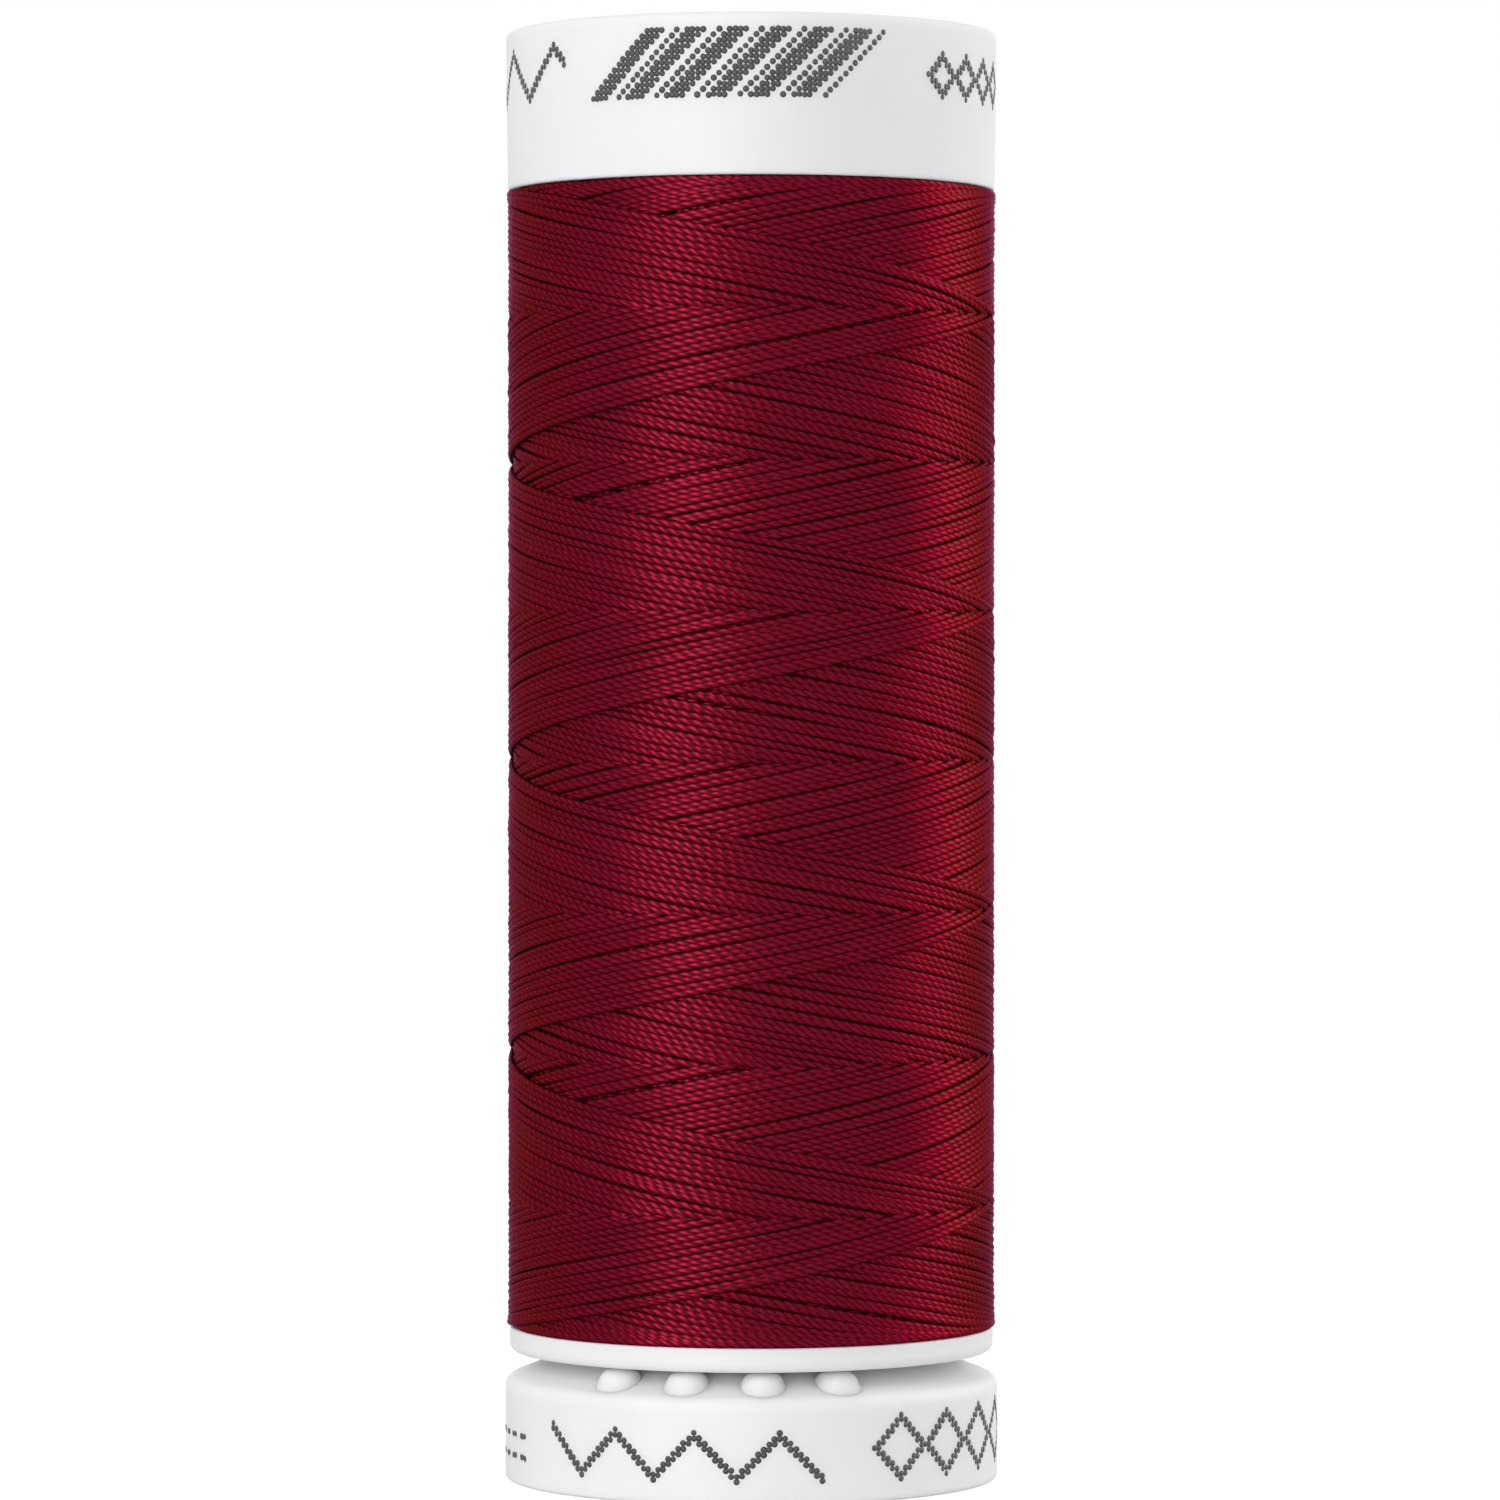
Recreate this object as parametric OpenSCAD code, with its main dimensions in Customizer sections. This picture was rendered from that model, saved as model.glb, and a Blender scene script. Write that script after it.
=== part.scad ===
// Snap spool of sewing thread.
// A hollow plastic barrel with a wide top cap carries a package of thread. It stands on a snap foot,
// axis along +Z, and lifts a little off it to open a nip that holds the thread's end.

/* [Mouldings] */
// Diameter of the foot, the widest of the round mouldings
foot_d = 22.4; // [21:0.1:26]
// Height of the foot at its rim
foot_h = 4.7; // [4:0.1:8]
// Wall of the foot's skirt
foot_wall = 1.3; // [0.9:0.1:1.8]
// Thickness of the foot's top plate
foot_plate = 1; // [0.7:0.1:1.6]
// Rounding of the foot's rim
foot_round = 0.3; // [0.2:0.1:0.8]
// Bevel of the foot's bottom edge
sole_bevel = 0.2; // [0.1:0.05:0.4]
// Height of the nip groove at its mouth, from the foot's rim to the lower disc
nip_h = 1.1; // [0.8:0.1:1.6]
// How far the lower disc's edge lies inside the foot's
disc_inset = 0.2; // [0:0.05:0.6]
// Thickness of the lower disc
disc_t = 1.1; // [0.8:0.1:1.8]
// Bevel of the lower disc's bottom edge
disc_bevel = 0.35; // [0.2:0.05:0.6]
// How far the top cap's edge lies inside the foot's
cap_inset = 0.05; // [0:0.05:0.4]
// Height of the top cap's skirt
cap_h = 7.15; // [5:0.05:10]
// Wall of the top cap's skirt
cap_wall = 1.1; // [0.8:0.1:1.6]
// Thickness of the top cap's plate, at its rim
cap_plate = 1.4; // [1:0.1:2]
// Bevel of the top cap's upper edge
cap_bevel = 0.3; // [0.2:0.05:0.8]
// Depth of the shallow dish in the top cap
dish_depth = 0.4; // [0.2:0.1:0.6]
// How far the flat rim around the dish reaches in from the skirt's wall
dish_ledge = 0.4; // [0.2:0.1:1.2]
// Outside diameter of the barrel tube
barrel_d = 16.6; // [16:0.1:18]
// Wall of the barrel tube
barrel_wall = 1.2; // [1:0.1:1.4]
// Diameter of the holes for the machine's spool pin
pin_bore_d = 8; // [6:0.1:8.6]
// Wall of the hubs around those holes
hub_wall = 1.2; // [0.8:0.1:1.4]
// Length of the top cap's hub
cap_hub_l = 6.8; // [4:0.1:9]

/* [Nip] */
// How far the barrel lifts off the foot to open the nip
travel = 1.5; // [0.5:0.1:2]
// Radius of the small domes that grip the thread's end
nub_r = 1; // [0.9:0.05:1.2]
// Domes in each of the two opposite groups
nubs_per_group = 4; // [2:1:5]
// Angle between neighbouring domes
nub_step = 20; // [15:1:24]
// Angle about the axis at which the first group is centred
nub_group_angle = -97; // [-180:1:180]
// Distance from the lower disc's edge in to the domes' centres
nub_inset = 1.3; // [1.2:0.1:2]
// Width of the flat ring around the fingers, from which the foot's top slopes down to its rim
seat_land = 1.4; // [1:0.1:2]

/* [Foot and its snap fingers] */
// Wall of the fingers
finger_wall = 1.1; // [0.9:0.1:1.2]
// Height of the fingers above the foot
finger_h = 8.3; // [7:0.1:10]
// Number of fingers
fingers = 4; // [4:2:8]
// Width of the slots between the fingers
slot_w = 1.8; // [1.4:0.1:2.2]
// Height of the solid collar below the slots
collar_h = 1.5; // [1.2:0.1:1.8]
// How far the snap beads stand out of the fingers
bead_out = 0.35; // [0.2:0.05:0.45]
// Height of the snap beads
bead_h = 1; // [0.8:0.1:1.4]
// Depth of the lead-in above the beads
bead_lead = 0.8; // [0.4:0.1:1]
// Number of ribs under the foot
rib_count = 8; // [6:1:12]
// Thickness of those ribs
rib_t = 0.8; // [0.6:0.1:1.2]
// How far the ribs stop short of the surface below
rib_lift = 0.6; // [0.3:0.1:1.2]
// How far the foot's hub stops short of the surface below
hub_lift = 0.3; // [0.1:0.1:0.8]

/* [Barrel keys and top plug] */
// Length of the two keys that stop the foot turning
key_l = 13; // [8:0.5:20]
// How deep the keys reach in from the barrel's bore
key_depth = 0.9; // [0.5:0.1:1]
// Length of the plug that holds the top cap in the barrel
plug_l = 8; // [5:0.5:14]
// Wall of that plug
plug_wall = 1; // [0.8:0.1:1.1]

/* [Thread] */
// Length of the thread package, from disc to cap
wind_l = 51.6; // [30:0.1:80]
// How far the outer turns lie inside the foot's edge
thread_inset = 0.1; // [0:0.05:0.4]
// Turns in the outer layer
turns = 24; // [12:1:24]
// Thickness of the outer layer
turn_t = 0.5; // [0.4:0.05:0.8]
// Space between neighbouring turns
turn_gap = 0.45; // [0.42:0.01:0.7]
// Angle about the axis at which the outer layer starts and ends, at the back
turn_start = 90; // [-180:15:180]

/* [Clearances] */
// Around the fingers, in the barrel's bore
slide_clear = 0.1; // [0.05:0.01:0.1]
// Around the top cap's plug and the upper disc
press_clear = 0.05; // [0.02:0.01:0.1]
// Between the domes and the lower disc
nip_clear = 0.05; // [0.02:0.01:0.1]
// Between the foot's seat and the lower disc
seat_clear = 0.15; // [0.05:0.05:0.3]
// Around the snap beads, in the barrel's groove
bead_clear = 0.15; // [0.1:0.05:0.2]
// At each side of a key, in its slot
key_clear = 0.3; // [0.2:0.05:0.4]
// Between the thread and what it lies on
thread_clear = 0.05; // [0.03:0.01:0.1]

/* [Hidden] */
$fn = 96;
overlap = 0.3; // how far one solid reaches into the next where the two are one moulding
over = 1; // how far a cut runs past the face that it opens
round_chords = 2; // chords in a rounding or a dome's arc, which keep their faces few

// Heights, from the sole up
disc_z = foot_h + nip_h;
seat_z = disc_z - seat_clear;
wind_z = disc_z + disc_t;
cap_z = wind_z + wind_l;
top_z = cap_z + cap_h;
barrel_top_z = top_z - cap_plate - press_clear;

// Radii, from the outside in
foot_r = foot_d / 2;
disc_r = foot_r - disc_inset;
cap_r = foot_r - cap_inset;
cap_bore_r = cap_r - cap_wall;
barrel_r = barrel_d / 2;
bore_r = barrel_r - barrel_wall;
finger_r = bore_r - slide_clear;
plug_r = bore_r - press_clear;
pin_r = pin_bore_d / 2;
hub_r = pin_r + hub_wall;
rim_r = foot_r - foot_round;
seat_r = finger_r + seat_land;

// Snap beads at the fingers' tops, and the groove they travel in
finger_top_z = foot_h + finger_h;
bead_top_z = finger_top_z - bead_lead;
bead_z = bead_top_z - bead_h;
bead_r = finger_r + bead_out;
groove_r = bead_r + bead_clear;
groove_z = bead_z - (bead_r - bore_r) - travel - nip_clear;
groove_top_z = finger_top_z + bead_clear;

// Keys, each in a slot between two fingers
slot_z = foot_h + collar_h;
key_w = slot_w - 2 * key_clear;
key_z = slot_z + key_clear;

// Thread: an outer layer of turns, in chords, around a plain core
rings_per_turn = 18;
turn_sides = 6;
rings = turns * rings_per_turn;
pitch = (wind_l - 2 * thread_clear + turn_gap) / (turns + 1);
turn_w = pitch - turn_gap;
turn_bevel = turn_t / 3;
thread_r = foot_r - thread_inset;
turn_mid_r = thread_r - turn_t / 2;
chord_sag = thread_r * (1 - cos(180 / rings_per_turn));
core_r = thread_r - turn_t - chord_sag - thread_clear;
lead_angle = atan(pitch / (2 * PI * turn_mid_r));

// A ring about the axis
module ring(r_in, r_out, z_low, z_high) {
    translate([0, 0, z_low])
        difference() {
            cylinder(r = r_out, h = z_high - z_low);
            translate([0, 0, -over])
                cylinder(r = r_in, h = z_high - z_low + 2 * over);
        }
}

// What a rounding takes off a profile's outer corner: an arc of some chords, or a bevel when it has one.
// up is 1 at a top corner and -1 at a bottom one.
module corner(x, z, r, up, chords = 1) {
    arc = [
        for (i = [0 : chords])
            [x - r + r * sin(90 * i / chords), z - up * r * (1 - cos(90 * i / chords))]
    ];
    polygon(concat(arc, [[x + over, z - up * r], [x + over, z + up * over], [x - r, z + up * over]]));
}

// Copies of the children about the axis
module around(count) {
    for (i = [0 : count - 1])
        rotate([0, 0, i * 360 / count])
            children();
}

// The barrel: a tube with a disc at each end, a groove for the snap beads and two keys
module spool_barrel() {
    color("white") {
        difference() {
            ring(bore_r, barrel_r, disc_z, barrel_top_z);
            ring(bore_r - over, groove_r, groove_z, groove_top_z);
        }
        rotate_extrude()
            difference() {
                translate([barrel_r - overlap, disc_z])
                    square([disc_r - barrel_r + overlap, disc_t]);
                corner(disc_r, disc_z, disc_bevel, -1);
            }
        ring(barrel_r - overlap, cap_bore_r - press_clear, cap_z, cap_z + disc_t);
        around(2)
            translate([bore_r - key_depth, -key_w / 2, key_z])
                cube([key_depth + groove_r - bore_r + overlap, key_w, key_l]);
    }
}

// The top cap: a skirt over the barrel's upper disc, a dished plate, a hub for the pin and a plug
module top_cap() {
    color("white") {
        rotate_extrude()
            difference() {
                translate([cap_bore_r, cap_z])
                    square([cap_wall, cap_h]);
                corner(cap_r, top_z, cap_bevel, 1);
            }
        ring(pin_r, cap_bore_r + overlap, top_z - cap_plate, top_z - dish_depth);
        ring(cap_bore_r - dish_ledge, cap_bore_r + overlap, top_z - cap_plate, top_z);
        ring(pin_r, hub_r, top_z - cap_hub_l, top_z);
        ring(plug_r - plug_wall, plug_r, top_z - cap_plate - plug_l, top_z - cap_plate + overlap);
    }
}

// One dome of the nip, on the foot's seat: an arc in chords, turned, that ends flat under the disc
module nub() {
    nub_h = nip_h - nip_clear;
    top_angle = 75;
    arc = [
        for (a = [0 : top_angle / round_chords : top_angle])
            [nub_r * cos(a), nub_h * sin(a) / sin(top_angle)]
    ];
    translate([disc_r - nub_inset, 0, foot_h])
        rotate_extrude()
            polygon(concat(arc, [[0, nub_h], [0, -overlap], [nub_r, -overlap]]));
}

// The foot: a skirt and plate stiffened by ribs, a seat that slopes up from the rim under the disc, the
// nip's domes on that slope, and slotted fingers with snap beads
module snap_foot() {
    skirt_r = foot_r - foot_wall;
    color("white") {
        rotate_extrude()
            difference() {
                translate([skirt_r, 0])
                    square([foot_wall, foot_h]);
                corner(foot_r, foot_h, foot_round, 1, round_chords);
                corner(foot_r, 0, sole_bevel, -1);
            }
        ring(pin_r, skirt_r + overlap, foot_h - foot_plate, foot_h);
        rotate_extrude()
            polygon([
                [finger_r - overlap, foot_h - overlap],
                [rim_r, foot_h - overlap],
                [rim_r, foot_h],
                [seat_r, seat_z],
                [finger_r - overlap, seat_z],
            ]);
        ring(pin_r, hub_r, hub_lift, foot_h);
        around(rib_count)
            translate([hub_r - overlap, -rib_t / 2, rib_lift])
                cube([skirt_r - hub_r + 2 * overlap, rib_t, foot_h - foot_plate / 2 - rib_lift]);
        for (group = [0, 180])
            for (i = [0 : nubs_per_group - 1])
                rotate([0, 0, nub_group_angle + group + nub_step * (i - (nubs_per_group - 1) / 2)])
                    nub();
        difference() {
            union() {
                ring(finger_r - finger_wall, finger_r, foot_h - overlap, finger_top_z);
                rotate_extrude()
                    polygon([
                        [finger_r - overlap, bead_z - bead_out],
                        [finger_r, bead_z - bead_out],
                        [bead_r, bead_z],
                        [bead_r, bead_top_z],
                        [finger_r, finger_top_z],
                        [finger_r - overlap, finger_top_z],
                    ]);
            }
            around(fingers)
                translate([0, -slot_w / 2, slot_z])
                    cube([bead_r + over, slot_w, finger_h]);
        }
    }
}

// The inner thread, as one plain sleeve
module thread_package() {
    color([0.36, 0.04, 0.10])
        ring(barrel_r + thread_clear, core_r, wind_z + thread_clear, cap_z - thread_clear);
}

// The outer layer of turns: one unbroken tube of six sides, pressed flat as side-by-side threads are.
// Its last chord at each end is straight and longer than the tube is wide, and ends square.
function turn_angle(i) = turn_start + 360 * i / rings_per_turn;
function turn_mid(i) = [
    turn_mid_r * cos(turn_angle(i)),
    turn_mid_r * sin(turn_angle(i)),
    wind_z + thread_clear + turn_w / 2 + pitch * i / rings_per_turn,
];
// Which way the tube is cut at ring i: half a chord's turn back or on at its two ends, so they are square
function cut_angle(i) = turn_angle(i) + (i == 0 ? 1 : i == rings ? -1 : 0) * 180 / rings_per_turn;
function turn_out(i) = [cos(cut_angle(i)), sin(cut_angle(i)), 0];
function turn_up(i) = [
    sin(lead_angle) * sin(cut_angle(i)),
    -sin(lead_angle) * cos(cut_angle(i)),
    cos(lead_angle),
];
turn_section = [
    [turn_t / 2, turn_bevel - turn_w / 2],
    [turn_t / 2, turn_w / 2 - turn_bevel],
    [0, turn_w / 2],
    [-turn_t / 2, turn_w / 2 - turn_bevel],
    [-turn_t / 2, turn_bevel - turn_w / 2],
    [0, -turn_w / 2],
];
function ring_points(i) = [for (s = turn_section) turn_mid(i) + s[0] * turn_out(i) + s[1] * turn_up(i)];
function corner_of(i, k) = i * turn_sides + k % turn_sides;

module thread_outer_winding() {
    ring_list = [for (i = [0 : rings]) ring_points(i)];
    walls = [
        for (i = [0 : rings - 1])
            for (k = [0 : turn_sides - 1])
                each [
                    [corner_of(i, k), corner_of(i, k + 1), corner_of(i + 1, k)],
                    [corner_of(i, k + 1), corner_of(i + 1, k + 1), corner_of(i + 1, k)],
                ]
    ];
    ends = [
        for (k = [1 : turn_sides - 2])
            each [
                [corner_of(0, 0), corner_of(0, k + 1), corner_of(0, k)],
                [corner_of(rings, 0), corner_of(rings, k), corner_of(rings, k + 1)],
            ]
    ];
    // Least gap of the tube to itself: each ring's corners against those half a turn to one and a half on
    half = rings_per_turn / 2;
    gaps = [
        for (i = [0 : rings - half])
            for (j = [i + half : min(rings, i + 3 * half)])
                for (p = ring_list[i])
                    for (q = ring_list[j])
                        norm(p - q)
    ];
    echo(turns = turns, least_gap_mm = min(gaps));
    color([0.52, 0.06, 0.15])
        polyhedron(points = [for (r = ring_list) each r], faces = concat(walls, ends));
}

spool_barrel();
top_cap();
snap_foot();
thread_package();
thread_outer_winding();
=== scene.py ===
import math

import bpy
import numpy as np
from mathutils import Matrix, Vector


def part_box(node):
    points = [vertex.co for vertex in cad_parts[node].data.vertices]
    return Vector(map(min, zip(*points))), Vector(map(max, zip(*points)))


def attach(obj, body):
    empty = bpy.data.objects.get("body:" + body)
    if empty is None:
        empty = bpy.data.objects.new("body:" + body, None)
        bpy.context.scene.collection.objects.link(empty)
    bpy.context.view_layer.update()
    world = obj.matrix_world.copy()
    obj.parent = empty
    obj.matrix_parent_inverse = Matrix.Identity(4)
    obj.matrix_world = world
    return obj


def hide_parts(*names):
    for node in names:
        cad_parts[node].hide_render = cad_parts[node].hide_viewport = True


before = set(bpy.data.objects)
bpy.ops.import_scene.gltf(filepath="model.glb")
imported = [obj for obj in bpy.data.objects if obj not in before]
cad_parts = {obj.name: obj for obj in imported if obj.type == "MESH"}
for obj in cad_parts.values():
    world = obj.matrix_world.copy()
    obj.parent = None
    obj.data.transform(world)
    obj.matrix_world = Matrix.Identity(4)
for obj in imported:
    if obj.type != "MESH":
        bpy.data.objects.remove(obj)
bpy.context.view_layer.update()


# ---- Barrel -------------------------------------------------------------------------------------
# A white polystyrene tube with a thin disc near each end, moulded in one piece. Its lower disc is
# the upper jaw of the thread nip, and a groove in its bore holds the foot's snap beads.

MM = 0.001


def rounded(corners, steps=4):
    """Profile with rounded corners. Each corner is (r, z, size) in mm, and becomes a parabola between
    the two points that lie size away along its edges, with one more point outside each of them."""
    c = np.array(corners, float)
    p, size = c[:, :2], c[:, 2:]
    back, ahead = np.roll(p, 1, 0) - p, np.roll(p, -1, 0) - p
    reach_back, reach_ahead = np.linalg.norm(back, axis=1), np.linalg.norm(ahead, axis=1)
    back /= reach_back[:, None]
    ahead /= reach_ahead[:, None]
    t = np.linspace(0, 1, steps + 1)[:, None, None]
    arc = p + (1 - t) ** 2 * size * back + t**2 * size * ahead
    rim = np.minimum(1.3 * size, 0.49 * np.minimum(reach_back, reach_ahead)[:, None])
    rim = np.maximum(rim, size)
    path = np.concatenate([(p + rim * back)[None], arc, (p + rim * ahead)[None]])
    return path.transpose(1, 0, 2).reshape(-1, 2) * MM


def facing_out(points, quads, tris):
    """Turns a closed shell's faces round if its signed volume, a sum over its triangles, is negative."""
    halves = np.concatenate([quads[:, [0, 1, 2]], quads[:, [0, 2, 3]], tris])
    a, b, c = (points[halves[:, k]] for k in range(3))
    if np.einsum("ij,ij->i", a, np.cross(b, c)).sum() < 0:
        quads, tris = quads[:, ::-1], tris[:, ::-1]
    return points, quads, tris


def grid_quads(rows, columns, close_rows=True, close_columns=True):
    """Quads of a rows by columns grid of points, closed round in either direction or in both."""
    i = np.arange(rows if close_rows else rows - 1)[:, None]
    j = np.arange(columns if close_columns else columns - 1)[None, :]
    i2, j2 = (i + 1) % rows, (j + 1) % columns
    quads = np.stack([i * columns + j, i * columns + j2, i2 * columns + j2, i2 * columns + j], -1)
    return quads.reshape(-1, 4)


NO_TRIS = np.empty((0, 3), int)


def turned(profile, segments=240):
    """Shell turned about Z: a closed profile of (r, z) carried round a full circle."""
    angle = np.linspace(0, 2 * np.pi, segments, endpoint=False)
    r, z = profile[:, :1], profile[:, 1:]
    points = np.stack([r * np.cos(angle), r * np.sin(angle), z + 0 * angle], -1).reshape(-1, 3)
    return facing_out(points, grid_quads(len(profile), segments), NO_TRIS)


def joined(shells):
    """One set of points and faces from several closed shells."""
    starts = np.cumsum([0] + [len(s[0]) for s in shells[:-1]])
    return tuple(
        np.concatenate([s[k] + (start if k else 0) for s, start in zip(shells, starts)])
        for k in range(3)
    )


def make_object(name, points, quads, tris):
    """Mesh object from arrays of points, quads and triangles, smooth shaded."""
    mesh = bpy.data.meshes.new(name)
    corners = np.concatenate([quads.ravel(), tris.ravel()])
    starts = np.concatenate(
        [np.arange(len(quads)) * 4, len(quads) * 4 + np.arange(len(tris)) * 3]
    )
    mesh.vertices.add(len(points))
    mesh.vertices.foreach_set("co", points.astype(np.float32).ravel())
    mesh.loops.add(len(corners))
    mesh.loops.foreach_set("vertex_index", corners.astype(np.int32))
    mesh.polygons.add(len(starts))
    mesh.polygons.foreach_set("loop_start", starts.astype(np.int32))
    mesh.polygons.foreach_set("use_smooth", np.ones(len(starts), bool))
    mesh.update(calc_edges=True)
    made = bpy.data.objects.new(name, mesh)
    bpy.context.scene.collection.objects.link(made)
    return made


def node(tree, kind, links=(), **settings):
    """A shader node with its settings, and its inputs linked or set by name or number."""
    made = tree.nodes.new(kind)
    for key, value in settings.items():
        setattr(made, key, value)
    for key, value in dict(links).items():
        if isinstance(value, bpy.types.NodeSocket):
            tree.links.new(value, made.inputs[key])
        else:
            made.inputs[key].default_value = value
    return made


def maths(tree, operation, a, b=0.0, c=0.0):
    """The output of a Math node on two or three values or sockets."""
    return node(tree, "ShaderNodeMath", {0: a, 1: b, 2: c}, operation=operation).outputs[0]


def blend_colours(tree, amount, first, second):
    """The output of a colour mix from first to second."""
    mix = node(tree, "ShaderNodeMix", {0: amount}, data_type="RGBA")
    for place, colour in ((6, first), (7, second)):
        if isinstance(colour, bpy.types.NodeSocket):
            tree.links.new(colour, mix.inputs[place])
        else:
            mix.inputs[place].default_value = (*colour, 1)
    return mix.outputs[2]


def new_group(name, inputs, outputs):
    """An empty shader node group: inputs are (name, type, default), outputs are (name, type)."""
    group = bpy.data.node_groups.new(name, "ShaderNodeTree")
    for label, kind, default in inputs:
        socket = group.interface.new_socket(label, in_out="INPUT", socket_type=kind)
        if default is not None:
            socket.default_value = default
    for label, kind in outputs:
        group.interface.new_socket(label, in_out="OUTPUT", socket_type=kind)
    return group, group.nodes.new("NodeGroupInput"), group.nodes.new("NodeGroupOutput")


def moulded_skin():
    """Group for what a mould leaves on plastic: a faint orange peel, flow clouds and fine scuffs."""
    group, given, out = new_group(
        "moulded skin",
        [("Place", "NodeSocketVector", None), ("Scuffs", "NodeSocketFloat", 0.5)],
        [("Clouds", "NodeSocketFloat"), ("Scuff", "NodeSocketFloat"), ("Height", "NodeSocketFloat")],
    )
    place, scuffs = given.outputs["Place"], given.outputs["Scuffs"]
    peel = node(group, "ShaderNodeTexNoise", {"Vector": place, "Scale": 2600.0, "Detail": 2.0})
    clouds = node(group, "ShaderNodeTexNoise", {"Vector": place, "Scale": 160.0, "Detail": 3.0})
    squeeze = node(group, "ShaderNodeMapping", {"Vector": place, "Scale": (1.0, 1.0, 7.0)})
    hairs = node(
        group,
        "ShaderNodeTexNoise",
        {"Vector": squeeze.outputs[0], "Scale": 1500.0, "Detail": 4.0, "Distortion": 0.6},
    )
    hair = node(
        group,
        "ShaderNodeMapRange",
        {"Value": hairs.outputs["Fac"], "From Min": 0.62, "From Max": 0.74},
    )
    scuff = maths(group, "MULTIPLY", hair.outputs[0], scuffs)
    height = maths(group, "MULTIPLY_ADD", scuff, -0.5, peel.outputs["Fac"])
    group.links.new(clouds.outputs["Fac"], out.inputs["Clouds"])
    group.links.new(scuff, out.inputs["Scuff"])
    group.links.new(height, out.inputs["Height"])
    return group


SKIN = moulded_skin()


def white_plastic(name, colour, shade, roughness, scuffs):
    """White moulded polystyrene: colour clouds between two whites, satin, faintly uneven."""
    material = bpy.data.materials.new(name)
    material.use_nodes = True
    tree = material.node_tree
    shader = tree.nodes["Principled BSDF"]
    place = node(tree, "ShaderNodeTexCoord").outputs["Object"]
    skin = node(tree, "ShaderNodeGroup", node_tree=SKIN)
    tree.links.new(place, skin.inputs["Place"])
    skin.inputs["Scuffs"].default_value = scuffs
    clouds = node(
        tree,
        "ShaderNodeMapRange",
        {"Value": skin.outputs["Clouds"], "From Min": 0.35, "From Max": 0.65},
    )
    tree.links.new(blend_colours(tree, clouds.outputs[0], colour, shade), shader.inputs["Base Color"])
    cloud_change, scuff_change = 0.10, 0.22
    least = roughness - cloud_change / 2
    gloss = maths(tree, "MULTIPLY_ADD", skin.outputs["Clouds"], cloud_change, least)
    gloss = maths(tree, "MULTIPLY_ADD", skin.outputs["Scuff"], scuff_change, gloss)
    tree.links.new(gloss, shader.inputs["Roughness"])
    bump = node(
        tree,
        "ShaderNodeBump",
        {"Height": skin.outputs["Height"], "Distance": 6e-6, "Strength": 0.5},
    )
    tree.links.new(bump.outputs[0], shader.inputs["Normal"])
    shader.inputs["IOR"].default_value = 1.5
    shader.inputs["Subsurface Weight"].default_value = 0.4
    shader.inputs["Subsurface Radius"].default_value = (1.0, 1.0, 1.0)
    shader.inputs["Subsurface Scale"].default_value = 0.0008
    return material


barrel_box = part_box("spool_barrel")
DISC_Z = barrel_box[0].z / MM
DISC_R = barrel_box[1].x / MM
DISC_T = 1.1
WIND_Z = DISC_Z + DISC_T
WIND_L = 51.6
CAP_Z = WIND_Z + WIND_L
BARREL_R, BORE_R, GROOVE_R = 8.3, 7.1, 7.5
UPPER_DISC_R = 10.0
BARREL_TOP = barrel_box[1].z / MM
GROOVE = (9.4, 13.15)
KEY = {"width": 1.2, "inner": 6.2, "outer": 7.8, "low": 6.5, "high": 19.5}


def block(x, y, z):
    """Shell of a plain block between the given pairs of bounds, in mm."""
    corners = np.array([[i, j, k] for i in x for j in y for k in z], float) * MM
    quads = np.array(
        [[0, 1, 3, 2], [4, 6, 7, 5], [0, 4, 5, 1], [2, 3, 7, 6], [0, 2, 6, 4], [1, 5, 7, 3]]
    )
    return facing_out(corners, quads, NO_TRIS)


def spun(shell, degrees):
    """A shell turned about Z."""
    a = math.radians(degrees)
    turn = np.array([[math.cos(a), math.sin(a), 0], [-math.sin(a), math.cos(a), 0], [0, 0, 1]])
    return shell[0] @ turn, shell[1], shell[2]


barrel_profile = rounded(
    [
        (BORE_R, DISC_Z, 0.15),
        (DISC_R, DISC_Z, 0.42),
        (DISC_R, WIND_Z, 0.12),
        (BARREL_R, WIND_Z, 0.3),
        (BARREL_R, CAP_Z, 0.1),
        (UPPER_DISC_R, CAP_Z, 0.1),
        (UPPER_DISC_R, CAP_Z + DISC_T, 0.1),
        (BARREL_R, CAP_Z + DISC_T, 0.3),
        (BARREL_R, BARREL_TOP, 0.2),
        (BORE_R, BARREL_TOP, 0.2),
        (BORE_R, GROOVE[1], 0.05),
        (GROOVE_R, GROOVE[1], 0.05),
        (GROOVE_R, GROOVE[0], 0.05),
        (BORE_R, GROOVE[0], 0.05),
    ]
)
half_key = KEY["width"] / 2
key = block((KEY["inner"], KEY["outer"]), (-half_key, half_key), (KEY["low"], KEY["high"]))
barrel = make_object("barrel_moulding", *joined([turned(barrel_profile), key, spun(key, 180)]))
barrel.data.materials.append(
    white_plastic(
        "barrel white",
        colour=(0.82, 0.82, 0.828),
        shade=(0.80, 0.80, 0.808),
        roughness=0.55,
        scuffs=0.3,
    )
)
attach(barrel, "spool")
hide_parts("spool_barrel")


# ---- Top cap ------------------------------------------------------------------------------------
# A white cap with a tall smooth skirt that carries the print, pressed onto the barrel's upper disc.
# Its top is slightly dished, and the hub in the middle fits a sewing machine's spool pin.

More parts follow.
